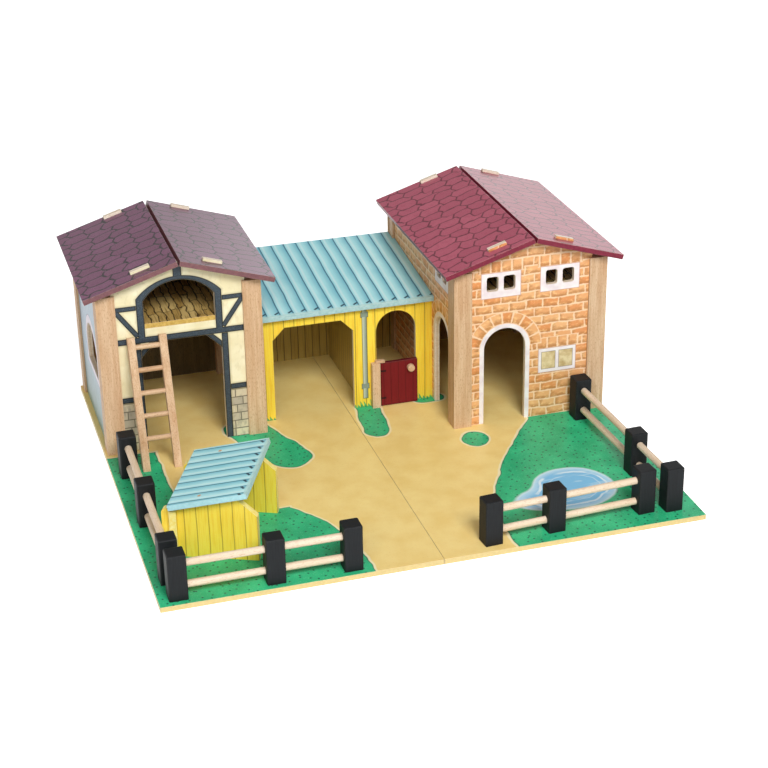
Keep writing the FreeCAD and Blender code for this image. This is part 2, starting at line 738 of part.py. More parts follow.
def make_fence(name, corner, yaw, spans):
    """Loose fence: three square posts and two round rails let into them."""
    starts = [0.0, spans[0], spans[0] + spans[1]]
    total = starts[-1] + fence_post_side
    origin = (corner[0], corner[1], floor_z)
    along = V(1, 0, 0)
    rail_start = fence_post_side - rail_seat
    rail_length = total - 2 * rail_start
    hole_radius = rail_diameter / 2 + pin_gap
    hole_length = rail_length + 2 * edge_gap
    rails = []
    holes = []
    for height in (lower_rail_height, upper_rail_height):
        rail_end = V(rail_start, fence_post_side / 2, height)
        hole_end = V(rail_start - edge_gap, fence_post_side / 2, height)
        rails.append(Part.makeCylinder(rail_diameter / 2, rail_length, rail_end, along))
        holes.append(Part.makeCylinder(hole_radius, hole_length, hole_end, along))
    for label, x in zip(("first", "middle", "last"), starts):
        post = block((x, 0, 0), (x + fence_post_side, fence_post_side, fence_post_height))
        upper_edges = [edge for edge in post.Edges if edge.CenterOfMass.z > fit_gap]
        post = post.makeFillet(fence_post_round, upper_edges)
        for hole in holes:
            post = post.cut(hole)
        parts[name + "_post_" + label] = place(post, origin, yaw)
    parts[name + "_rails"] = place(Part.makeCompound(rails), origin, yaw)


make_barn()
make_house()
make_stable()
make_door()
make_base()
make_sty()
make_ladder()
make_fence("fence_left",
           (base_left + left_fence_side_gap + fence_post_side, left_fence_start),
           left_fence_yaw, (left_fence_first_span, left_fence_second_span))
make_fence("fence_front_left",
           (base_left + front_left_fence_side_gap, base_front + front_left_fence_front_gap),
           front_left_fence_yaw, (front_left_fence_first_span, front_left_fence_second_span))
make_fence("fence_front_right",
           (front_right_fence_seam_gap, base_front + front_right_fence_front_gap),
           front_right_fence_yaw, (front_right_fence_first_span, front_right_fence_second_span))
make_fence("fence_right",
           (-base_left - right_fence_side_gap, right_fence_start),
           right_fence_yaw, (right_fence_first_span, right_fence_second_span))

os.makedirs("parts", exist_ok=True)
for node, shape in parts.items():
    shape.exportStep("parts/" + node + ".step")
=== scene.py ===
"""Looks of the wooden toy farmyard: bare beech, and plywood printed as timber framing, brick, slate,
boards, sheet roofing and ground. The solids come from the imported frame; every print is drawn by formula
on the frame's own coordinates, in millimetres.
"""
import json
import math

import bpy
import numpy as np
from mathutils import Matrix, Vector


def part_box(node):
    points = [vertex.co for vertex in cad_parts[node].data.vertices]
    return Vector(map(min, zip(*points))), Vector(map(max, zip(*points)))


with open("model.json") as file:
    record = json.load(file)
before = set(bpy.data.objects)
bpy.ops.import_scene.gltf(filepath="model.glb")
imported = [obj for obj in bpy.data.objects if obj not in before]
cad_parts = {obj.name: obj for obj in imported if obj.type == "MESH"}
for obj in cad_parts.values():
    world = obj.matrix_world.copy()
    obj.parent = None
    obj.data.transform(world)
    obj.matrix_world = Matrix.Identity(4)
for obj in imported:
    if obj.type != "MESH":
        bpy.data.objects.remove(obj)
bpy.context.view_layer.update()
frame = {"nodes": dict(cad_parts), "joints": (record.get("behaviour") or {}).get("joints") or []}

MM = 0.001
BOARD = 6.0             # mm: thickness of the plywood
FACE_SKIN = 0.15        # mm: how deep a point still counts as on the printed face
SKIN_BLUR = 0.05        # mm: blur between a face and the cut edges
SOFT_EDGE = 0.45        # mm: blur of a printed edge
PEN_BLUR = 0.6          # mm: blur of a line drawn by pen
BRUSH_BLUR = 0.8        # mm: blur of a line drawn by brush
TENON_FOOT = 221.0      # mm: above this a gable wall is only bare tenon
EDGE_ROUND = 0.7        # mm: rounding of sanded edges, which the eye sees as a thin light line
NOISE_RANGE = (0.35, 0.65)      # holds most of a cloud's values

# Camera, fitted to the photograph: degrees, pixels of a 768 frame, metres
FRAME_PIXELS = 768
CAMERA_AZIMUTH = -17.195
CAMERA_ELEVATION = 25.313
CAMERA_ROLL = -0.624
FOCAL_PIXELS = 1827.73
CENTRE_PIXEL = 407.755
CAMERA_TARGET = Vector((0.0545, 0.0256, 0.066))
CAMERA_DISTANCE = 2.1562
CAMERA_REACH = 100.0
SENSOR_MM = 36.0


def linear(code):
    """sRGB hex code to linear RGBA."""
    channels = np.array([int(code[i:i + 2], 16) for i in (1, 3, 5)]) / 255
    values = np.where(channels <= 0.04045, channels / 12.92, ((channels + 0.055) / 1.055) ** 2.4)
    return (*values.tolist(), 1.0)


class Field:
    """A value that varies over a surface. Sums, products and comparisons of fields become nodes."""

    def __init__(self, tree, socket):
        self.tree = tree
        self.socket = socket

    def math(self, operation, *others):
        return add(self.tree, "Math", (self, *others), operation=operation)

    def __add__(self, other):
        return self.math("ADD", other)

    def __sub__(self, other):
        return self.math("SUBTRACT", other)

    def __rsub__(self, other):
        return add(self.tree, "Math", (other, self), operation="SUBTRACT")

    def __mul__(self, other):
        return self.math("MULTIPLY", other)

    def __truediv__(self, other):
        return self.math("DIVIDE", other)

    def inside(self, soft=SOFT_EDGE):
        """1 where this signed distance is negative, 0 outside, with a soft edge."""
        return add(self.tree, "Clamp", (self / -soft + 0.5,))

    def over(self, limit, soft):
        """1 where this value is over a limit, 0 below it, with a soft edge."""
        return (limit - self).inside(soft)

    def ramp(self, start, end):
        """Rises evenly from 0 at start to 1 at end."""
        return add(self.tree, "MapRange", {"Value": self, "From Min": start, "From Max": end})

    def off_middle(self):
        """How far this value's fraction is from one half: 0 in a cell's middle, 0.5 at its edges."""
        return (self.math("FRACT") - 0.5).math("ABSOLUTE")


def add(tree, kind, values=(), output=0, **settings):
    """Add one node: values fill its inputs in order, or by name or number in a dictionary."""
    node = tree.nodes.new("ShaderNode" + kind)
    for name, value in settings.items():
        setattr(node, name, value)
    pairs = values.items() if isinstance(values, dict) else enumerate(values)
    for key, value in pairs:
        if isinstance(value, Field):
            tree.links.new(value.socket, node.inputs[key])
        else:
            node.inputs[key].default_value = value
    return Field(tree, node.outputs[output])


def ink(ground, colour, mask):
    """Print a colour over a ground colour where the mask is 1. A colour is a field or a hex code."""
    ground, colour = [linear(c) if isinstance(c, str) else c for c in (ground, colour)]
    return add(mask.tree, "Mix", {0: mask, 6: ground, 7: colour}, output=2, data_type="RGBA")


def places(tree):
    """Position on the piece, in millimetres of the shared frame: the vector and its x, y and z."""
    metres = add(tree, "TexCoord", output=3)
    vector = add(tree, "VectorMath", {0: metres, "Scale": 1 / MM}, operation="SCALE")
    split = add(tree, "SeparateXYZ", (vector,)).socket.node
    return (vector, *[Field(tree, socket) for socket in split.outputs])


def cloud(vector, sizes, detail=3.0):
    """Cloudy noise, 0 to 1, whose blobs have the given sizes in mm along x, y and z, or one size."""
    if isinstance(sizes, float):
        sizes = (sizes, sizes, sizes)
    per_mm = tuple(1 / size for size in sizes)
    scaled = add(vector.tree, "VectorMath", {0: vector, 1: per_mm}, operation="MULTIPLY")
    return add(vector.tree, "TexNoise", {"Vector": scaled, "Scale": 1.0, "Detail": detail})


def waver(vector, size):
    """Slow wandering of an unsteady hand: smooth noise about zero, -0.5 to 0.5."""
    return cloud(vector, size, 2.0) - 0.5


def chance(column, row, seed=0.0):
    """A steady chance value, 0 to 1, for each cell of a pattern."""
    spot = add(column.tree, "CombineXYZ", (column, row, seed))
    return add(column.tree, "TexWhiteNoise", (spot,), noise_dimensions="3D")


def oblong(across, up, middle, width, bottom, top):
    """Signed distance to a rectangle: the larger of the two distances to its sides."""
    sideways = (across - middle).math("ABSOLUTE") - width / 2
    upright = (up - (bottom + top) / 2).math("ABSOLUTE") - (top - bottom) / 2
    return sideways.math("MAXIMUM", upright)


def strut(across, up, start, end, width):
    """Signed distance to a straight bar between two points: distance from its line, ended square."""
    length = math.hypot(end[0] - start[0], end[1] - start[1])
    run = ((end[0] - start[0]) / length, (end[1] - start[1]) / length)
    along = (across - start[0]) * run[0] + (up - start[1]) * run[1]
    beside = (across - start[0]) * -run[1] + (up - start[1]) * run[0]
    ends = (along - length / 2).math("ABSOLUTE") - length / 2
    return (beside.math("ABSOLUTE") - width / 2).math("MAXIMUM", ends)


def oval(across, up, middle, level, half_width, half_height):
    """Signed distance, near enough, to an ellipse: its normalised radius less one, times its size."""
    u = (across - middle) / half_width
    v = (up - level) / half_height
    radius = (u * u + v * v).math("SQRT")
    return (radius - 1.0) * min(half_width, half_height)


def arched(across, up, middle, width, spring, rise):
    """Signed distance to a doorway with a round top: a circle above the spring line, a slab below."""
    radius = (width * width / 4 + rise * rise) / (2 * rise)
    dx = across - middle
    dz = up - (spring + rise - radius)
    circle = (dx * dx + dz * dz).math("SQRT") - radius
    slab = dx.math("ABSOLUTE") - width / 2
    above = up.math("GREATER_THAN", spring)
    return add(across.tree, "Mix", {0: above, 2: slab, 3: circle}, data_type="FLOAT")


def capsule(across, up, start, end, radius):
    """Signed distance to a bar with round ends: distance to the nearest point of its middle line."""
    run = (end[0] - start[0], end[1] - start[1])
    square = run[0] ** 2 + run[1] ** 2
    share = ((across - start[0]) * run[0] + (up - start[1]) * run[1]) / square
    share = add(across.tree, "Clamp", (share,))
    u = across - start[0] - share * run[0]
    v = up - start[1] - share * run[1]
    return (u * u + v * v).math("SQRT") - radius


def joined(*distances):
    """Signed distance to several shapes together: the least of them."""
    total = distances[0]
    for other in distances[1:]:
        total = total.math("MINIMUM", other)
    return total


def edge_wear_and_highlight(vector, normal):
    """Pale along the edges, where hands rub and as a painted highlight: 1 along the edges, broken up by
    noise, from how far a rounded normal turns.
    """
    patch_size, worn_bend, patch_share, blur = 6.0, 0.975, 0.05, 0.03
    flat = add(vector.tree, "NewGeometry", output=1)
    bend = add(vector.tree, "VectorMath", (normal, flat), output=1, operation="DOT_PRODUCT")
    patch = cloud(vector, patch_size, 4.0)
    return (bend - worn_bend + (patch - 0.5) * patch_share).inside(blur)


def sanded(tree):
    """Normal of the piece with its edges rounded over, as sandpaper leaves them."""
    return add(tree, "Bevel", {"Radius": EDGE_ROUND * MM}, samples=4)


def surface(material, colour, rough, height, relief, normal, gloss=0.5):
    """Close a material: colour and roughness into the shader, a height as bump of a relief in mm, and
    how strongly the finish mirrors, 0.5 for a hard varnish and less for a matt one."""
    tree = material.node_tree
    shader = tree.nodes["Principled BSDF"]
    shader.inputs["Specular IOR Level"].default_value = gloss
    pressed = {"Strength": 1.0, "Distance": relief * MM, "Height": height, "Normal": normal}
    bump = add(tree, "Bump", pressed)
    for name, field in (("Base Color", colour), ("Roughness", rough), ("Normal", bump)):
        tree.links.new(field.socket, shader.inputs[name])
    return material


def new_material(name):
    """An empty material with its place fields."""
    material = bpy.data.materials.new(name)
    material.use_nodes = True
    return material, places(material.node_tree)


def dress(material, *nodes):
    """Give CAD nodes a material."""
    for node in nodes:
        mesh = frame["nodes"][node].data
        mesh.materials.clear()
        mesh.materials.append(material)


def span(node):
    """Lowest and highest corner of a CAD node in mm."""
    low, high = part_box(node)
    return low / MM, high / MM


def middle_of(node):
    """Middle of a CAD node's box in mm."""
    low, high = span(node)
    return (low + high) / 2


# Wood. Each set of inks is pale wood, dark wood and flecks.

BEECH = ("#E3C5A2", "#C69A72", "#A8764E")
PALE_BEECH = ("#F1DFC8", "#DFC3A2", "#CBA581")
BARE_BIRCH = ("#FAF0E0", "#EDDBC2", "#D2B896")
# The barn's inner stain is darkened past the wood's own tone: painted shade of the closed barn.
BARN_INSIDE_STAIN_AND_SHADE = ("#746344", "#574830", "#423521")
HOUSE_INSIDE = ("#B58E5E", "#8F6A40", "#6E4E2C")


def wood_grain(vector, along, pale, dark, fleck_colour):
    """Sawn wood: broad figure, fine fibres and short dark flecks, all drawn out along one axis. Their
    sizes are across and along the grain; fibres and flecks are drawn coarse enough to show."""
    figure_size, fibre_size, fleck_size = (8.0, 110.0), (0.9, 26.0), (0.7, 3.4)
    figure_share, fibre_share, fleck_share = 0.6, 0.4, 0.55
    shade_range, flecks_shown = (0.34, 0.66), (0.63, 0.08)

    def drawn(size):
        return tuple(size[1] if k == along else size[0] for k in range(3))

    figure = cloud(vector, drawn(figure_size), 4.0)
    fibre = cloud(vector, drawn(fibre_size), 3.0)
    fleck = cloud(vector, drawn(fleck_size), 1.0)
    shade = (figure * figure_share + fibre * fibre_share).ramp(*shade_range)
    wood = ink(pale, dark, shade)
    return ink(wood, fleck_colour, fleck.over(*flecks_shown) * fleck_share), fibre


def beech(name, along, inks=BEECH):
    """Bare beech, planed and sanded: satin, with grain that the finger just feels."""
    rough, rough_spread, relief, gloss, wear_and_highlight_share = 0.45, 0.15, 0.06, 0.25, 0.5
    material, (vector, *_) = new_material(name)
    normal = sanded(vector.tree)
    wood, fibre = wood_grain(vector, along, *inks)
    # Edges paler: wear, and a painted highlight along the sanded edges.
    wood = ink(wood, "#F3DDBF", edge_wear_and_highlight(vector, normal) * wear_and_highlight_share)
    return surface(material, wood, fibre * rough_spread + rough, fibre, relief, normal, gloss)


def printed(name, depth_of, draw, edge=None, inside=None, along=0, rough=0.36, gloss=0.3):
    """Birch plywood with a varnished print at depth zero. Its cut edges may be painted in two tones,
    and its other face stained below the roof, in the barn dark enough to be painted shade inside."""
    scuff_size, grain_size = 3.0, 0.8
    scuff_range, grain_range = (0.35, 0.7), (0.5, 0.9)
    ply_half, ply_blur = BOARD / 6, 0.3
    ply_share, grain_share, wear_and_highlight_share = 0.4, 0.1, 0.3
    print_share, fibre_share, relief, rough_spread = 0.6, 0.1, 0.08, 0.16
    material, (vector, x, y, z) = new_material(name)
    normal = sanded(x.tree)
    depth = depth_of(x, y, z)
    face = (depth - FACE_SKIN).inside(SKIN_BLUR)
    scuff = cloud(vector, scuff_size, 4.0).ramp(*scuff_range)
    board, fibre = wood_grain(vector, along, *BARE_BIRCH)
    if edge:
        board = ink(*edge, scuff)
    else:
        ply = ((depth - BOARD / 2).math("ABSOLUTE") - ply_half).inside(ply_blur)
        board = ink(board, "#CDAA7C", ply * ply_share)
    if inside:
        # The other face, below the roof, is stained; the barn's stain is dark enough to be painted shade
        # of its interior.
        stain, fibre = wood_grain(vector, 2, *inside)
        under_roof = (BOARD - FACE_SKIN - depth).math("MAXIMUM", z - TENON_FOOT)
        board = ink(board, stain, under_roof.inside(SKIN_BLUR))
    pattern, height = draw(vector, x, y, z)
    grain = cloud(vector, grain_size, 2.0)
    pattern = ink(pattern, "#FFF6E6", grain.ramp(*grain_range) * grain_share)
    colour = ink(board, pattern, face)
    # Edges paler: wear, and a painted highlight along the cut edges.
    colour = ink(colour, "#F0DCC0", edge_wear_and_highlight(vector, normal) * wear_and_highlight_share)
    pressed = height * print_share + fibre * fibre_share
    uneven = grain * rough_spread + (rough - rough_spread / 2)
    return surface(material, colour, uneven, pressed, relief, normal, gloss)


def blades(across, up, level, pitch, reach):
    """Signed distance to a row of grass blades standing on a level: a comb of leaning teeth."""
    lean_share, least_share, most_share = 0.35, 0.2, 0.8
    leaning = (across + (up - level) * lean_share) / pitch
    beside = leaning.off_middle()
    column = leaning.math("FLOOR")
    tall = (chance(column, 3.0) * most_share + least_share) * reach
    return up - level - tall * (1.0 - beside * 2.0)


def stone_courses(across, up, pitch, length):
    """Rough blocks in courses: a chance value for each block, and the joints' signed distance."""
    joint_half = 0.6
    row = (up / pitch).math("FLOOR")
    shifted = across / length + chance(row, 0.0)
    u = shifted.off_middle() * length
    v = (up / pitch).off_middle() * pitch
    gap = (u - (length / 2 - joint_half)).math("MAXIMUM", v - (pitch / 2 - joint_half))
    return chance(shifted.math("FLOOR"), row), gap


def brick_faces(vector, place, size, cell, joint):
    """Hand-tinted bricks: place in the cell 0 to 1 across and up, cell size in mm, and the joints. Each
    brick is darker along its foot and one side, with a ragged outline."""
    smear_size, lights_shown = (6.0, 6.0, 3.5), (0.6, 0.12)
    ragged, joint_blur, relief_blur = 2.2, 1.1, 1.2
    odd_limit, odd_share, side_share, dark_share, light_share = 0.82, 0.8, 0.8, 0.75, 0.45
    foot_smear, foot_range, side_smear, side_range = 0.7, (0.5, 0.18), 0.5, (0.26, 0.08)
    u, v = place
    width, height = size
    brick = ink("#F0B57C", "#E8A268", chance(*cell))
    brick = ink(brick, "#E39152", chance(*cell, 7.0).math("GREATER_THAN", odd_limit) * odd_share)
    smear = cloud(vector, smear_size, 3.0)
    low = (v + (smear - 0.5) * foot_smear).ramp(*foot_range)
    side = (u + (smear - 0.5) * side_smear).ramp(*side_range)
    brick = ink(brick, "#B8783F", low.math("MAXIMUM", side * side_share) * dark_share)
    brick = ink(brick, "#FFD797", smear.over(*lights_shown) * light_share)
    edge_u = (u - 0.5).math("ABSOLUTE") * width - (width - joint) / 2
    edge_v = (v - 0.5).math("ABSOLUTE") * height - (height - joint) / 2
    gap = edge_u.math("MAXIMUM", edge_v) + (smear - 0.5) * ragged
    return ink("#FAD4AE", brick, gap.inside(joint_blur)), gap.inside(relief_blur)


def brickwork(vector, across, up):
    """Brickwork in a loose stretcher bond, drawn by an unsteady hand."""
    pitch, length, joint = 10.9, 21.0, 1.7
    wobble_size, wobble_up, wobble_along, stray_share = 26.0, 5.0, 7.0, 0.4
    wobble = waver(vector, wobble_size)
    level = (up + wobble * wobble_up) / pitch
    row = level.math("FLOOR")
    stagger = row.math("FLOORED_MODULO", 2.0) * 0.5 + chance(row, 0.0) * stray_share
    along = (across + wobble * wobble_along) / length + stagger
    place = (along.math("FRACT"), level.math("FRACT"))
    return brick_faces(vector, place, (length, pitch), (along.math("FLOOR"), row), joint)


def board_lines(vector, across, width, inks):
    """Upright boards: a tint for each, thin joints drawn by hand, and a few streaks of grain."""
    drift_size, drift_reach, grain_size = 60.0, 2.0, (1.6, 1.6, 34.0)
    streaks_shown, joint_half, joint_blur = (0.54, 0.12), 0.5, 0.5
    tint_share, streak_share, joint_share = 0.4, 0.6, 0.85
    pale, deep, joint_colour = inks
    drift = (across + waver(vector, drift_size) * drift_reach) / width
    column = drift.math("FLOOR")
    beside = drift.off_middle() * width
    grain = cloud(vector, grain_size, 4.0)
    board = ink(pale, deep, chance(column, 0.0) * tint_share)
    board = ink(board, deep, grain.over(*streaks_shown) * streak_share)
    line = (width / 2 - joint_half - beside).inside(joint_blur)
    return ink(board, joint_colour, line * joint_share), line * -1.0


# Barn

def barn_front_print(mid, floor):
    """Half-timbered front: cream plaster, blue-black timbers with dark outlines, a stone plinth."""
    panel = 73.3             # half the wall between the posts
    door_half, door_top, door_chamfer = 47.0, floor + 135.0, 18.0
    loft_half, loft_stile = 41.0, 8.4
    spring, rise = floor + 186.0, 21.5
    arch_spring, arch_rise = floor + 189.5, 23.0
    stile, brace, brace_lift, corner_reach = 7.5, 6.0, 1.0, 40.0
    beam = (floor + 135.0, floor + 142.5)
    rail = (floor + 176.0, floor + 182.0)
    plinth_rail = (floor + 62.0, floor + 69.0)
    crown, ridge, king_post = floor + 211.0, floor + 228.0, 10.0
    stone_pitch, stone_length, stone_blur = 10.2, 17.0, 0.7
    stain_size, plaster_size, grain_size = (4.0, 4.0, 9.0), 22.0, 3.0
    outline, shade_reach = 1.1, 3.0
    stains_shown, pits_shown, worn_shown = (0.63, 0.1), (0.58, 0.15), (0.64, 0.1)
    stain_share, stone_share, shade_share, worn_share, relief_share = 0.3, 0.5, 0.4, 0.3, 0.3

    def timber_lines(across, mirrored, z):
        """Signed distance to the timbers."""
        loft_edge = loft_half + loft_stile
        door_edge = door_half + stile
        opening = arched(across, z, 0.0, 2 * loft_half, spring, rise)
        arch = arched(across, z, 0.0, 2 * loft_edge, arch_spring, arch_rise)
        ring = arch.math("MAXIMUM", opening * -1.0).math("MAXIMUM", beam[0] - z)
        chamfer = (mirrored + z - (door_half + door_top - door_chamfer)) * math.sqrt(0.5)
        corner = (chamfer - brace / 2).math("ABSOLUTE") - brace / 2
        doorway = oblong(mirrored, z, 0.0, 2 * door_half, beam[0] - corner_reach, beam[0])
        corner = corner.math("MAXIMUM", doorway)
        brace_foot = (loft_edge, beam[1] + brace_lift)
        return joined(
            ring, corner,
            oblong(mirrored, z, door_half + stile / 2, stile, floor - stile, beam[0]),
            oblong(across, z, 0.0, 2 * panel, *beam),
            oblong(mirrored, z, (panel + loft_edge) / 2, panel - loft_edge, *rail),
            oblong(across, z, 0.0, king_post, crown, ridge),
            strut(mirrored, z, (panel, rail[0] + brace_lift), brace_foot, brace),
            oblong(mirrored, z, (panel + door_edge) / 2, panel - door_edge, *plinth_rail))

    def draw(vector, x, y, z):
        across = x - mid
        mirrored = across.math("ABSOLUTE")
        timbers = timber_lines(across, mirrored, z)
        stain = cloud(vector, stain_size)
        plaster = ink("#FBF3D2", "#EEE2B8", cloud(vector, plaster_size, 4.0).ramp(*NOISE_RANGE))
        plaster = ink(plaster, "#D8CCA0", stain.over(*stains_shown) * stain_share)
        tone, gap = stone_courses(mirrored, z - floor, stone_pitch, stone_length)
        stone = ink("#E3D6B6", "#B9AE9C", tone)
        stone = ink(stone, "#99907F", stain.over(*pits_shown) * stone_share)
        stone = ink("#6E675A", stone, gap.inside(stone_blur))
        plinth = oblong(mirrored, z, (panel + door_half) / 2, panel - door_half, floor - stile,
                        plinth_rail[0])
        wall = ink(plaster, stone, plinth.inside())
        wall = ink(wall, "#A89C70", timbers.ramp(shade_reach, 0.0) * shade_share)
        grain = cloud(vector, grain_size, 4.0)
        timber = ink("#3D4B57", "#2D3843", grain.ramp(*NOISE_RANGE))
        timber = ink(timber, "#66747E", grain.over(*worn_shown) * worn_share)
        timber = ink("#0E1218", timber, (timbers + outline).inside(PEN_BLUR))
        return ink(wall, timber, timbers.inside()), timbers.inside() * relief_share
    return draw


def pale_boards(axis, frame_of=None):
    """Weathered pale-blue boarding with a green wash at the foot, and a lilac frame round a window."""
    width, wash_size, wash_top, wash_full, outline = 16.0, 18.0, 85.0, 15.0, 0.8
    wash_share, least_wash_share = 0.8, 0.3

    def draw(vector, x, y, z):
        board, height = board_lines(vector, (x, y)[axis], width, ("#AFC4D2", "#92AABC", "#667E90"))
        wash = cloud(vector, wash_size, 4.0)
        foot = z.ramp(wash_top, wash_full) * (wash * wash_share + least_wash_share)
        board = ink(board, "#6C8A70", foot)
        if frame_of:
            border = frame_of(y, z)
            board = ink(board, "#6E6A8C", (border - outline).inside())
            board = ink(board, ink("#F1E9EE", "#DCCFDD", wash), border.inside())
        return board, height
    return draw


def barn_window_frame(floor, middle):
    """Signed distance to the printed frame of the barn's arched window."""
    width, sill, spring, rise = 90.0, floor + 65.0, floor + 106.0, 32.0

    def distance(y, z):
        return arched(y, z, middle, width, spring, rise).math("MAXIMUM", sill - z)
    return distance


def slates(slope_of, inks, line_share):
    """Courses of split slates along the ridge: nearly one colour, uneven tails, pen outlines."""
    course, width, course_pen, side_pen = 25.0, 18.0, 2.4, 2.1
    wobble_size, wobble_reach, blotch_size, shake_size, shake_reach = 24.0, 14.0, 7.0, 5.0, 0.8
    point_share, uneven_share, stray_share, blotch_share = 0.2, 0.5, 0.3, 0.5
    blotches_shown = (0.55, 0.2)
    base, tint, line = inks

    def columns(y, row):
        """Place along a course, in slate widths, with each course shifted against its neighbours."""
        return y / width + row.math("FLOORED_MODULO", 2.0) * 0.5 + chance(row, 0.0) * stray_share

    def draw(vector, x, y, z):
        wobble = waver(vector, wobble_size)
        y = y + wobble * wobble_reach
        up = (slope_of(x, z) + wobble * wobble_reach) / course
        row = up.math("FLOOR")
        beside = columns(y, row)
        tail = beside.off_middle() * (2 * point_share)
        tail = tail + chance(beside.math("FLOOR"), row, 3.0) * uneven_share
        under = tail - up.math("FRACT")
        here = row - under.math("GREATER_THAN", 0.0)
        place = columns(y, here)
        slate = ink(base, tint, chance(place.math("FLOOR"), here))
        slate = ink(slate, tint, cloud(vector, blotch_size, 5.0).over(*blotches_shown) * blotch_share)
        upright = (width - side_pen) / 2 - place.off_middle() * width
        drawn = (under.math("ABSOLUTE") * course - course_pen / 2).math("MINIMUM", upright)
        mark = (drawn + waver(vector, shake_size) * shake_reach).inside(PEN_BLUR)
        return ink(slate, line, mark * line_share), mark * -1.0
    return draw


# House

def house_wall_print(axis, floor, doors=(), windows=(), panels=()):
    """Brick wall: brickwork, white window frames and doorway borders, a ring of bricks over each arch
    and a course of upright bricks over each window. Panels are printed windows: their middle, width,
    foot and head."""
    frame_width, frame_low, frame_high = 48.3, floor + 161.7, floor + 192.5
    door_width, door_crown, border = 52.0, floor + 121.5, 5.5
    tile_width, ring, joint, lap = 13.0, 15.0, 2.2, 8.0
    outline, outline_blur, pane_outline, sash = 0.7, 0.8, 0.6, 4.5
    pane_place_share, pane_width_share = 0.235, 0.36
    paint_size, paint_range, glass_size = 14.0, (0.4, 0.65), 9.0

    def row_of_bricks(vector, along, up, seed):
        """A course of upright bricks: along in brick widths, up from 0 at the foot to 1 at the top."""
        cell = (along.math("FLOOR"), seed)
        return brick_faces(vector, (along.math("FRACT"), up), (tile_width, ring), cell, joint)[0]

    def frame_paint(vector):
        return ink("#F8EFEE", "#EBDCDF", cloud(vector, paint_size).ramp(*paint_range))

    def draw(vector, x, y, z):
        across = (x, y)[axis]
        wall, height = brickwork(vector, across, z - floor)
        boxes = [(middle, frame_width, frame_low, frame_high) for middle in windows]
        for middle, width, low, high in boxes + list(panels):
            course = oblong(across, z, middle, width + lap, high, high + ring)
            tile = row_of_bricks(vector, (across - middle) / tile_width, (z - high) / ring, middle)
            wall = ink(wall, tile, course.inside())
        for middle in doors:
            radius = door_width / 2
            level = door_crown - radius
            edge = arched(across, z, middle, door_width, level, radius)
            turn = add(x.tree, "Math", (z - level, across - middle), operation="ARCTAN2")
            along = turn * ((radius + border + ring / 2) / tile_width)
            tile = row_of_bricks(vector, along, (edge - border) / ring, middle)
            band = (edge - border - ring / 2).math("ABSOLUTE") - ring / 2
            wall = ink(wall, tile, band.math("MAXIMUM", level - z).inside())
            wall = ink(wall, frame_paint(vector), (edge - border).inside())
        for middle, width, low, high in boxes + list(panels):
            box = oblong(across, z, middle, width, low, high)
            wall = ink(wall, "#C99C8C", (box - outline).inside(outline_blur))
            wall = ink(wall, frame_paint(vector), box.inside())
        for middle, width, low, high in panels:
            beside = (across - middle).math("ABSOLUTE")
            pane = oblong(beside, z, width * pane_place_share, width * pane_width_share, low + sash,
                          high - sash)
            glass = ink("#E8D3A4", "#C2A46E", cloud(vector, glass_size).ramp(*NOISE_RANGE))
            wall = ink(wall, "#8D7466", (pane - pane_outline).inside())
            wall = ink(wall, glass, pane.inside())
        return wall, height
    return draw


def floor_boards(vector, x, y, z):
    """Upper floors: honey-brown boards from front to back with cross joints, outlined by an unsteady
    pen."""
    width, length, side_pen, end_pen = 9.0, 46.0, 1.4, 1.6
    wobble_size, wobble_across, wobble_along = 12.0, 7.0, 24.0
    grain_size, streaks_shown, grain_share = (1.6, 24.0, 1.6), (0.56, 0.12), 0.7
    wobble = cloud(vector, wobble_size, 3.0) - 0.5
    across = (x + wobble * wobble_across) / width
    column = across.math("FLOOR")
    along = (y + wobble * wobble_along) / length + chance(column, 0.0)
    tint = chance(column, along.math("FLOOR"), 2.0)
    # Board inks darkened a little: painted shade of the loft under its roof.
    board = ink("#DABC78", "#BA9651", tint)
    board = ink(board, "#8A6A30", cloud(vector, grain_size, 4.0).over(*streaks_shown) * grain_share)
    side = (width - side_pen) / 2 - across.off_middle() * width
    end = (length - end_pen) / 2 - along.off_middle() * length
    line = side.math("MINIMUM", end).inside(PEN_BLUR)
    return ink(board, "#2A1D0C", line), line * -1.0


# Stable. Each set of board inks is a pale tint, a deep tint and the joints.

YELLOW_BOARDS = ("#FBE04A", "#F0C02E", "#8C7426")
# Dun boards inside the stable, darkened as painted shade of the stall's interior.
SHADED_DUN_BOARDS = ("#C4A85A", "#A48438", "#54421B")
DOOR_BOARDS = ("#78191F", "#6C161C", "#5A1117")
BOARD_PITCH = 12.5
INNER_PITCH = 9.5


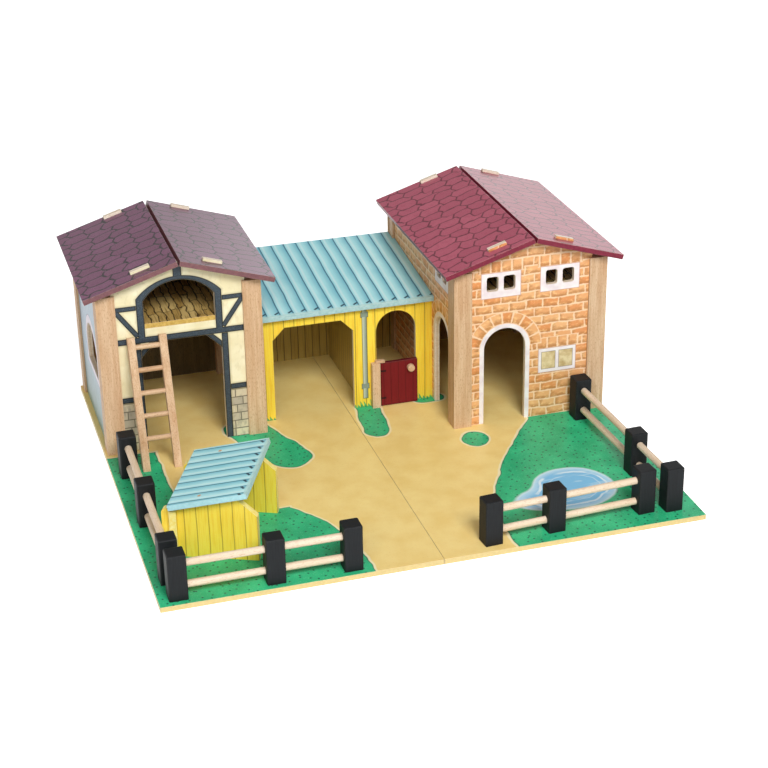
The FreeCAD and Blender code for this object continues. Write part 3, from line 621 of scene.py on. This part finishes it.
def stable_front_draw(floor, pier_x):
    """Yellow boards, a grey drainpipe with two clamps on the pier, and grass at the foot."""
    pipe_width, clamp_width, outline = 5.2, 8.4, 0.7
    pipe_ends = (floor + 12.0, floor + 132.0)
    upper_clamp = (floor + 119.5, floor + 125.5)
    lower_clamp = (floor + 25.0, floor + 31.0)
    leaf_size, blade_pitch, blade_height = 3.0, 4.4, 11.0

    def draw(vector, x, y, z):
        wall, height = board_lines(vector, x, BOARD_PITCH, YELLOW_BOARDS)
        pipe = oblong(x, z, pier_x, pipe_width, *pipe_ends)
        clamps = joined(oblong(x, z, pier_x, clamp_width, *upper_clamp),
                        oblong(x, z, pier_x, clamp_width, *lower_clamp))
        round_shade = x.ramp(pier_x - pipe_width / 3, pier_x + pipe_width / 2)
        metal = ink("#BFCAB8", "#728278", round_shade)
        wall = ink(wall, "#626238", (joined(pipe, clamps) - outline).inside())
        wall = ink(wall, metal, pipe.inside())
        wall = ink(wall, "#84958A", clamps.inside())
        leaf = ink("#7CC36A", "#2F9458", cloud(vector, leaf_size).ramp(*NOISE_RANGE))
        grass = blades(x, z, floor, blade_pitch, blade_height).inside(PEN_BLUR)
        return ink(wall, leaf, grass), height
    return draw


def dun_boards(vector, x, y, z):
    """Dun boards of the stable's partition, darkened as painted shade."""
    return board_lines(vector, y, INNER_PITCH, SHADED_DUN_BOARDS)


def stable_back_draw(middle_y):
    """Yellow boards on the wall's back, and dun boards, darkened as painted shade, on its inner face."""
    def draw(vector, x, y, z):
        outer, height = board_lines(vector, x, BOARD_PITCH, YELLOW_BOARDS)
        inner, _ = board_lines(vector, x, INNER_PITCH, SHADED_DUN_BOARDS)
        return ink(outer, inner, (y - middle_y).inside()), height
    return draw


def sheet_roofing(across_of, down_of, start, pitch):
    """Pale-blue corrugated sheet: each wave shaded to one side with a light crest and a dark valley,
    and pen ticks along the eave."""
    drift_size, drift_reach, stain_size, stain_range = 40.0, 2.0, (26.0, 40.0, 26.0), (0.4, 0.75)
    crest_place_share, crest_half, crest_blur, valley_half = 0.28, 1.4, 2.4, 0.8
    eave_width, tick_start_share, tick_low, tick_high, tick_width = 4.0, 0.62, 5.5, 10.0, 2.4
    stain_share, shade_share, crest_share, eave_share = 0.6, 0.75, 0.7, 0.8

    def draw(vector, x, y, z):
        across = across_of(x, y)
        down = down_of(x, y) - start
        wave = (across + waver(vector, drift_size) * drift_reach) / pitch
        column = wave.math("FLOOR")
        part = wave.math("FRACT")
        sheet = ink("#BCF1F4", "#A8E6EB", chance(column, 0.0))
        sheet = ink(sheet, "#8ED6E0", cloud(vector, stain_size, 4.0).ramp(*stain_range) * stain_share)
        sheet = ink(sheet, "#58AEC6", part.ramp(0.5, 1.0) * shade_share)
        crest = (part - crest_place_share).math("ABSOLUTE") * pitch - crest_half
        crest = crest.inside(crest_blur)
        sheet = ink(sheet, "#DDF8F8", crest * crest_share)
        valley = pitch / 2 - valley_half - (part - 0.5).math("ABSOLUTE") * pitch
        valley = valley.inside(BRUSH_BLUR)
        sheet = ink(sheet, "#2F738C", valley)
        eave = (down - eave_width).inside(BRUSH_BLUR)
        sheet = ink(sheet, "#BFE4E0", eave * eave_share)
        tick_ends = ((pitch * tick_start_share, tick_low), (pitch, tick_high))
        tick = strut(part * pitch, down, *tick_ends, tick_width)
        return ink(sheet, "#123F52", tick.inside(BRUSH_BLUR)), crest - valley
    return draw


def red_door(name, low, high):
    """Half door painted dark red: upright boards with faint joints, dark strap hinges, edges paler as
    wear and painted highlight, and painted shade along its rim.
    """
    width, strap_middle, strap_length, strap_blur = 9.2, low.x + 2.0, 10.0, 0.5
    door_edge_shade_width, door_edge_shade_blur, door_edge_shade_share, wear_and_highlight_share = 1.0, 1.2, 0.6, 0.5
    smear_size, rough, rough_spread, relief, gloss = 4.0, 0.42, 0.15, 0.08, 0.2
    lower_strap = (low.z + 9.0, low.z + 11.5)
    upper_strap = (high.z - 12.0, high.z - 9.5)
    material, (vector, x, _, z) = new_material(name)
    normal = sanded(x.tree)
    board, height = board_lines(vector, x, width, DOOR_BOARDS)
    straps = joined(oblong(x, z, strap_middle, strap_length, *lower_strap),
                    oblong(x, z, strap_middle, strap_length, *upper_strap))
    board = ink(board, "#2E1014", straps.inside(strap_blur))
    # Painted shade: a darker band along all the door's edges, where the gap round the door lies in
    # shadow.
    door_edge_shade = oblong(x, z, (low.x + high.x) / 2, high.x - low.x, low.z, high.z)
    board = ink(board, "#4A141B", (door_edge_shade * -1.0 - door_edge_shade_width).inside(door_edge_shade_blur) * door_edge_shade_share)
    # Edges paler: worn paint, and a painted highlight.
    board = ink(board, "#C77B72", edge_wear_and_highlight(vector, normal) * wear_and_highlight_share)
    smear = cloud(vector, smear_size)
    return surface(material, board, smear * rough_spread + rough, height, relief, normal, gloss)


# Ground

def lawn_outline(x, y, ripple):
    """Signed distance to the grass: three lawns with curved edges, and tufts below the walls. An
    edge is its distance from the middle line, and a tuft its two ends and radius."""
    left_start, left_end, left_edge, left_bulge, left_power = -273.0, -115.0, 76.0, 52.0, 2.7
    strip_end, strip_edge = 64.0, 243.0
    right_start, right_full, right_edge, right_bulge, right_power = -215.0, 9.0, 84.0, 118.0, 1.5
    right_end, right_slant_share, ripple_reach = 16.0, 0.85, 9.0
    tufts = (((-130.0, 90.0), (-97.0, 2.0), 26.0),
             ((26.0, 100.0), (18.0, 34.0), 15.0),
             ((96.0, 101.0), (112.0, 101.0), 11.0))
    nook_middle, nook_half = (122.0, -22.0), (16.0, 18.0)
    bend = y.ramp(left_start, left_end).math("POWER", left_power) * left_bulge
    front_left = (x + bend + left_edge).math("MAXIMUM", y - left_end)
    left_strip = (x + strip_edge).math("MAXIMUM", y - strip_end)
    bend = y.ramp(right_start, right_full).math("POWER", right_power) * right_bulge
    front_right = (bend + right_edge - x) * right_slant_share
    front_right = front_right.math("MAXIMUM", y - right_end)
    tuft_shapes = [capsule(x, y, *tuft) for tuft in tufts]
    nook = oval(x, y, *nook_middle, *nook_half)
    return joined(front_left, left_strip, front_right, *tuft_shapes, nook) + ripple * ripple_reach


def lawn_paint(vector, tone, grain):
    """Green lawn with dark brush dots and pale specks."""
    tuft, stray_share, dot_radius = 10.0, 0.9, 1.15
    specks_shown, speck_share = (0.62, 0.1), 0.3
    lawn = ink("#31C286", "#21AC75", tone)
    spread = {"Vector": vector, "Scale": 1 / tuft, "Randomness": stray_share}
    dots = add(vector.tree, "TexVoronoi", spread, feature="F1", voronoi_dimensions="2D")
    lawn = ink(lawn, "#0C5544", (dots * tuft - dot_radius).inside(PEN_BLUR))
    return ink(lawn, "#6FDBA8", grain.over(*specks_shown) * speck_share)


def pond_paint(vector, pond, ripple):
    """Blue water, paler at the shore, with two broken rings and a few light streaks. A ring is its
    distance from the shore, half its width and its strength."""
    rings = ((7.0, 1.3, 0.9), (15.0, 0.8, 0.45))
    shallows, ring_ripple, calm_size, calm_shown = 8.0, 8.0, 26.0, (0.42, 0.1)
    streak_size, streaks_shown, streak_share = (30.0, 8.0, 8.0), (0.62, 0.08), 0.4
    water = ink("#BFE6F8", "#7CC4EC", pond.ramp(0.0, -shallows))
    calm = cloud(vector, calm_size, 2.0)
    for shore, half_width, strength in rings:
        ring = (pond + shore + ripple * ring_ripple).math("ABSOLUTE") - half_width
        water = ink(water, "#E8F7FE", ring.inside(BRUSH_BLUR) * calm.over(*calm_shown) * strength)
    streaks = cloud(vector, streak_size, 2.0).over(*streaks_shown)
    return ink(water, "#CBE9F8", streaks * streak_share)


def ground_print(vector, x, y, z):
    """Sandy yard with grass along the edges and below the walls, and a small pond."""
    ripple_size, tone_size, grain_size = 34.0, 26.0, 1.6
    halo, halo_blur, halo_share, outline, inset = 3.0, 1.0, 0.8, 0.5, 0.6
    specks_shown, speck_share = (0.66, 0.1), 0.35
    pool_middle, pool_half = (188.0, -168.0), (43.0, 43.0)
    spill_middle, spill_half = (166.0, -187.0), (52.0, 26.0)
    pond_meld, pond_ripple, bank, bank_blur, shore_blur = 24.0, 5.0, 2.0, 2.5, 1.5
    ripple = waver(vector, ripple_size)
    grass = lawn_outline(x, y, ripple)
    tone = cloud(vector, tone_size, 4.0).ramp(*NOISE_RANGE)
    grain = cloud(vector, grain_size)
    sand = ink("#FBDF92", "#F4D382", tone)
    sand = ink(sand, "#DDB869", grain.over(*specks_shown) * speck_share)
    lawn = lawn_paint(vector, tone, grain)
    ground = ink(sand, "#FBF0C8", (grass - halo).inside(halo_blur) * halo_share)
    ground = ink(ground, "#1F7F62", (grass - outline).inside(BRUSH_BLUR))
    ground = ink(ground, lawn, (grass + inset).inside(BRUSH_BLUR))
    pool = oval(x, y, *pool_middle, *pool_half)
    spill = oval(x, y, *spill_middle, *spill_half)
    pond = pool.math("SMOOTH_MIN", spill, pond_meld) + ripple * pond_ripple
    ground = ink(ground, "#D3ECF4", (pond - bank).inside(bank_blur))
    water = pond_paint(vector, pond, ripple)
    ground = ink(ground, water, pond.inside(shore_blur))
    return ground, grain


def stained_post(name):
    """Fence post of beech stained near black, its rounded edges painted paler, as wear and as a painted
    highlight.
    """
    edge_round, grain_size, grain_range, wear_and_highlight_share = 1.6, (1.2, 1.2, 22.0), (0.3, 0.7), 0.35
    rough, rough_spread, relief, gloss = 0.48, 0.2, 0.08, 0.25
    material, (vector, *_) = new_material(name)
    normal = add(vector.tree, "Bevel", {"Radius": edge_round * MM}, samples=6)
    grain = cloud(vector, grain_size, 4.0)
    stain = ink("#0E1013", "#1A1D20", grain.ramp(*grain_range))
    # Edges grey: wear, and a painted highlight on the black posts.
    stain = ink(stain, "#54524F", edge_wear_and_highlight(vector, normal) * wear_and_highlight_share)
    return surface(material, stain, grain * rough_spread + rough, grain, relief, normal, gloss)


def zinc(name):
    """Zinc-plated steel, rolled and tumbled: dull, slightly blue metal with fine scratches."""
    scratch_size, rough, rough_spread, relief = (0.4, 0.4, 3.0), 0.3, 0.2, 0.02
    material, (vector, *_) = new_material(name)
    scratch = cloud(vector, scratch_size, 4.0)
    metal = ink("#B9BEC4", "#8F959C", scratch)
    material.node_tree.nodes["Principled BSDF"].inputs["Metallic"].default_value = 1.0
    uneven = scratch * rough_spread + rough
    return surface(material, metal, uneven, scratch, relief, sanded(vector.tree))


# Depth fields: how far below a printed face of a node a point lies

def face(axis, upper):
    """Depth below the face at the upper or the lower end of an axis."""
    def depth_of(node):
        low, high = span(node)
        if upper:
            return lambda *place: high[axis] - place[axis]
        return lambda *place: place[axis] - low[axis]
    return depth_of


def nearer(one, other):
    """Depth below the nearer of two faces."""
    def depth_of(node):
        first, second = one(node), other(node)
        return lambda *place: first(*place).math("MINIMUM", second(*place))
    return depth_of


left_face, right_face = face(0, False), face(0, True)
front_face, back_face = face(1, False), face(1, True)
top_face = face(2, True)


def print_wall(node, kind, depth, draw, **finish):
    """Print one wall."""
    dress(printed("plywood printed as " + kind + ", " + node, depth(node), draw, **finish), node)


# Give every CAD node its finish

floor_top = span("base_board_left")[1].z
upright = beech("beech upright", 2)
crosswise = beech("beech crosswise", 0)

dress(printed("plywood printed as ground", top_face("base_board_left"), ground_print,
              edge=("#E2CC90", "#DCC486")), "base_board_left", "base_board_right")

for building in ("barn", "house"):
    for corner in ("front_left", "front_right", "back_left", "back_right"):
        dress(upright, building + "_post_" + corner)

BARN_WINDOW_Y = 162.0    # mm: middle of the window in the left wall
barn_mid = middle_of("barn_front_wall").x
barn_window = barn_window_frame(floor_top, BARN_WINDOW_Y)
print_wall("barn_front_wall", "timber framing", front_face, barn_front_print(barn_mid, floor_top),
           inside=BARN_INSIDE_STAIN_AND_SHADE)
print_wall("barn_back_wall", "pale boards", back_face, pale_boards(0), inside=BARN_INSIDE_STAIN_AND_SHADE)
print_wall("barn_left_wall", "pale boards", left_face, pale_boards(1, barn_window), inside=BARN_INSIDE_STAIN_AND_SHADE)
print_wall("barn_right_wall", "pale boards", right_face, pale_boards(1), inside=BARN_INSIDE_STAIN_AND_SHADE)

roof_axis = next(joint["axis"] for joint in frame["joints"] if joint["name"] == "barn_roof_left_lift")
ROOF_SIN, ROOF_COS = -roof_axis[0], roof_axis[2]


def roof_fields(node, side):
    """Slope and depth of one roof panel: up along the board from its eave, down from its top face."""
    low, high = span(node)
    eave = (low.x if side < 0 else -high.x) + BOARD * ROOF_SIN

    def out(x):
        return (x - eave) if side < 0 else (-eave - x)

    def slope(x, z):
        return out(x) * ROOF_COS + (z - low.z) * ROOF_SIN

    def depth(x, y, z):
        return out(x) * ROOF_SIN - (z - low.z) * ROOF_COS + BOARD
    return slope, depth


# Of each roof: inks of slate, tint and pen line, the lines' strength, gloss, and tones of the cut edges
ROOFS = {
    "barn": (("#80496A", "#713D5A", "#12050B"), 1.0, 0.55, ("#7A4A4E", "#6A3C42")),
    # The house's slate inks are lightened and greyed: painted sheen over their crimson.
    "house": (("#BC5C70", "#AC4E63", "#480A1A"), 0.75, 0.24, ("#84263C", "#731D33")),
}
ROOF_ROUGH = 0.3
for building, (inks, line_share, gloss, edge) in ROOFS.items():
    for label, side in (("left", -1), ("right", 1)):
        node = building + "_roof_" + label
        slope, depth = roof_fields(node, side)
        dress(printed("plywood printed as slates, " + node, depth, slates(slope, inks, line_share),
                      edge=edge, rough=ROOF_ROUGH, gloss=gloss), node)

HOUSE_DOOR_SIDE = 31.2          # mm: doorway left of the front's middle
HOUSE_PAIR_SIDE = 36.7          # mm: each paired window beside the front's middle
SIDE_DOOR_BACK = 55.5           # mm: side doorway behind the house front
RIGHT_PAIR_SHARES = (0.27, 0.73)
house_mid = middle_of("house_front_wall").x
house_panel = (house_mid + 35.5, 47.0, floor_top + 57.0, floor_top + 87.5)
front_pairs = (house_mid - HOUSE_PAIR_SIDE, house_mid + HOUSE_PAIR_SIDE)
side_door = span("house_post_front_left")[0].y + SIDE_DOOR_BACK
inner_start = span("house_post_front_right")[1].y
inner_end = span("house_post_back_right")[0].y
right_pairs = [inner_start + share * (inner_end - inner_start) for share in RIGHT_PAIR_SHARES]
front_door = house_mid - HOUSE_DOOR_SIDE
house_prints = {
    "front": (front_face, house_wall_print(0, floor_top, (front_door,), front_pairs, (house_panel,))),
    "left": (left_face, house_wall_print(1, floor_top, (side_door,), (side_door,))),
    "right": (right_face, house_wall_print(1, floor_top, (), right_pairs)),
    "back": (back_face, house_wall_print(0, floor_top)),
}
for label, (depth, draw) in house_prints.items():
    print_wall("house_" + label + "_wall", "brick", depth, draw, inside=HOUSE_INSIDE)

dress(printed("plywood printed as loft floor", top_face("barn_loft_floor"), floor_boards,
              edge=("#D9B765", "#BF9848"), along=1), "barn_loft_floor")
dress(printed("plywood printed as upper floor", top_face("house_upper_floor"), floor_boards, along=1),
      "house_upper_floor")

pier_x = middle_of("stable_partition").x
stable_back = stable_back_draw(middle_of("stable_back_wall").y)
print_wall("stable_front_wall", "yellow boards", front_face, stable_front_draw(floor_top, pier_x))
print_wall("stable_back_wall", "boards", nearer(front_face, back_face), stable_back)
print_wall("stable_partition", "dun boards", nearer(left_face, right_face), dun_boards)
STABLE_PITCH = math.radians(6.2)
STABLE_WAVE = 16.0              # mm: from one valley of the sheet to the next
roof_low = span("stable_roof")[0]
stable_eave = roof_low.y + BOARD * math.sin(STABLE_PITCH)


def stable_roof_depth(x, y, z):
    """Depth below the stable roof's top face, square to it."""
    seat = (y - stable_eave) * math.sin(STABLE_PITCH)
    return seat - (z - roof_low.z) * math.cos(STABLE_PITCH) + BOARD


dress(printed("plywood printed as sheet roofing", stable_roof_depth,
              sheet_roofing(lambda x, y: x, lambda x, y: y, roof_low.y, STABLE_WAVE),
              edge=("#B4D6DC", "#9AC6CC")), "stable_roof")

dress(red_door("board painted dark red", *span("stable_door")), "stable_door")
dress(upright, "door_hinge_block")
dress(crosswise, "door_hinge_tab", "door_knob")
dress(zinc("zinc plated steel"), "door_hinge_pins", "post_screws")

# Sty: its open front's middle, turn and roof pitch, and sizes in mm, as it stands on the ground
STY_FRONT = (-161.5, -165.7)
STY_YAW = math.radians(-24.5)
STY_PITCH = math.radians(12.9)
STY_HALF_WIDTH = 54.65
STY_BOARD = 8.0
STY_BACK = 93.5
STY_SEAT = 58.2
STY_OVERHANG = 8.0
STY_WAVE = 15.0
STY_BOARD_PITCH = 13.0
STY_INKS = ("#FFE353", "#F6CC33", "#A5842C")
STY_EDGE = ("#FFF0A0", "#FADF6C")


def sty_along(x, y):
    """Distance ahead of the sty's open front, along its side walls."""
    return (x - STY_FRONT[0]) * math.cos(STY_YAW) + (y - STY_FRONT[1]) * math.sin(STY_YAW)


def sty_across(x, y):
    """Distance across the sty from its middle line."""
    return (x - STY_FRONT[0]) * -math.sin(STY_YAW) + (y - STY_FRONT[1]) * math.cos(STY_YAW)


def sty_boards(place_of):
    """Yellow boards, side by side along or across the sty."""
    return lambda vector, x, y, z: board_lines(vector, place_of(x, y), STY_BOARD_PITCH, STY_INKS)


def sty_roof_depth(x, y, z):
    """Depth below the sty roof's top face, square to it."""
    seat = (sty_along(x, y) + STY_BACK) * math.sin(STY_PITCH)
    return seat - (z - floor_top - STY_SEAT) * math.cos(STY_PITCH) + BOARD


def sty_side_depth(x, y, z):
    """Depth below the nearer face of either side wall."""
    outer = STY_HALF_WIDTH - sty_across(x, y).math("ABSOLUTE")
    return outer.math("MINIMUM", STY_BOARD - outer)


def sty_back_depth(x, y, z):
    """Depth below the nearer face of the back wall."""
    outer = sty_along(x, y) + STY_BACK
    return outer.math("MINIMUM", STY_BOARD - outer)


dress(printed("plywood printed as sty boards, side", sty_side_depth, sty_boards(sty_along),
              edge=STY_EDGE), "sty_near_wall", "sty_far_wall")
dress(printed("plywood printed as sty boards, back", sty_back_depth, sty_boards(sty_across),
              edge=STY_EDGE), "sty_back_wall")
dress(printed("plywood printed as sty roofing", sty_roof_depth,
              sheet_roofing(sty_across, lambda x, y: sty_along(x, y) * -1.0, STY_OVERHANG, STY_WAVE),
              edge=("#B4E0E6", "#A2D4DC")), "sty_roof")
dress(upright, "sty_roof_pegs", "ladder_stile_left", "ladder_stile_right")
dress(crosswise, "ladder_rungs")
dress(beech("pale beech dowel crosswise", 0, PALE_BEECH), "fence_front_left_rails",
      "fence_front_right_rails")
dress(beech("pale beech dowel lengthwise", 1, PALE_BEECH), "fence_left_rails", "fence_right_rails")
post_finish = stained_post("beech stained black")
for run in ("left", "front_left", "front_right", "right"):
    for label in ("first", "middle", "last"):
        dress(post_finish, "fence_" + run + "_post_" + label)


# Stage, light and camera

FLOOR_HALF = 12.0        # m: half the side of the studio floor
FLOOR_ROUGH = 0.9
FLOOR_GLOW = 0.75        # how much of its own white the floor adds to the eye
WORLD_LIGHT = 0.2        # strength of the white surround as a light
PAPER_RISE = 0.2         # sine of the height over the horizon up to which the paper stands
CEILING_RISE = 0.38      # and from which the ceiling is dark
CEILING_LIGHT = 0.1      # share of the paper's white that the ceiling mirrors


def ray_kind(tree, kind):
    """1 where the ray that meets the surface is of this kind: Camera, Glossy or Transmission."""
    rays = add(tree, "LightPath").socket.node.outputs
    return Field(tree, rays["Is " + kind + " Ray"])


def pale_floor():
    """Pale sheet under and behind the object, white to the eye but still taking a shadow."""
    corners = np.array([(-1, -1), (1, -1), (1, 1), (-1, 1)]) * FLOOR_HALF
    points = np.column_stack([corners, np.zeros(4)])
    mesh = bpy.data.meshes.new("studio_floor")
    mesh.from_pydata(points.tolist(), [], [(0, 1, 2, 3)])
    floor = bpy.data.objects.new("studio_floor", mesh)
    bpy.context.scene.collection.objects.link(floor)
    material = bpy.data.materials.new("white studio paper")
    material.use_nodes = True
    tree = material.node_tree
    shader = tree.nodes["Principled BSDF"]
    shader.inputs["Base Color"].default_value = linear("#F4F4F4")
    shader.inputs["Roughness"].default_value = FLOOR_ROUGH
    seen = ray_kind(tree, "Camera").math("MAXIMUM", ray_kind(tree, "Transmission"))
    seen = seen.math("MAXIMUM", ray_kind(tree, "Glossy"))
    tree.links.new((seen * FLOOR_GLOW).socket, shader.inputs["Emission Strength"])
    shader.inputs["Emission Color"].default_value = linear("#FFFFFF")
    mesh.materials.append(material)


def white_world():
    """White surround: white to the eye, softer as a light, and in reflections white low down, where the
    paper stands, and darker under the ceiling."""
    world = bpy.data.worlds.new("studio")
    bpy.context.scene.world = world
    world.use_nodes = True
    tree = world.node_tree
    back = tree.nodes["Background"]
    back.inputs["Color"].default_value = linear("#FFFFFF")
    seen = ray_kind(tree, "Camera").math("MAXIMUM", ray_kind(tree, "Transmission"))
    rise = add(tree, "SeparateXYZ", (add(tree, "TexCoord"),), output=2)
    paper = rise.ramp(CEILING_RISE, PAPER_RISE) * (1.0 - CEILING_LIGHT) + CEILING_LIGHT
    seen = seen.math("MAXIMUM", ray_kind(tree, "Glossy") * paper)
    strength = seen * (1.0 - WORLD_LIGHT) + WORLD_LIGHT
    tree.links.new(strength.socket, back.inputs["Strength"])


def soft_lamp(name, place, power, size):
    """Square soft box aimed at the object's middle."""
    lamp = bpy.data.lights.new(name, "AREA")
    lamp.energy = power
    lamp.size = size
    holder = bpy.data.objects.new(name, lamp)
    spot = Vector(place)
    aim = (-spot).to_track_quat("-Z", "Y").to_matrix().to_4x4()
    holder.matrix_world = Matrix.Translation(spot) @ aim
    bpy.context.scene.collection.objects.link(holder)


def photo_camera():
    """Camera on a sphere about the target, rolled, with the photograph's focal length and centre."""
    azimuth, elevation, roll = np.radians([CAMERA_AZIMUTH, CAMERA_ELEVATION, CAMERA_ROLL])
    back = Vector((math.sin(azimuth) * math.cos(elevation), -math.cos(azimuth) * math.cos(elevation),
                   math.sin(elevation)))
    right = Vector((math.cos(azimuth), math.sin(azimuth), 0))
    up = back.cross(right)
    turned_right = right * math.cos(roll) + up * math.sin(roll)
    turned_up = up * math.cos(roll) - right * math.sin(roll)
    camera = bpy.data.cameras.new("photo_camera")
    camera.sensor_width = SENSOR_MM
    camera.lens = FOCAL_PIXELS / FRAME_PIXELS * SENSOR_MM
    camera.shift_x = 0.5 - CENTRE_PIXEL / FRAME_PIXELS
    camera.clip_end = CAMERA_REACH
    holder = bpy.data.objects.new("photo_camera", camera)
    turn = Matrix((turned_right, turned_up, back)).transposed().to_4x4()
    holder.matrix_world = Matrix.Translation(CAMERA_TARGET + back * CAMERA_DISTANCE) @ turn
    bpy.context.scene.collection.objects.link(holder)
    bpy.context.scene.camera = holder


pale_floor()
white_world()
# Soft boxes: place in metres, watts, side in metres
soft_lamp("key_light", (0.1, -2.27, 2.15), 68.0, 1.0)
soft_lamp("fill_light", (-1.2, -2.3, 1.8), 22.0, 1.4)
soft_lamp("rim_light", (1.5, 2.6, 0.75), 6.0, 1.4)
soft_lamp("back_light", (-2.2, 2.0, 0.6), 18.0, 1.6)
photo_camera()
bpy.context.scene.view_settings.view_transform = "Standard"
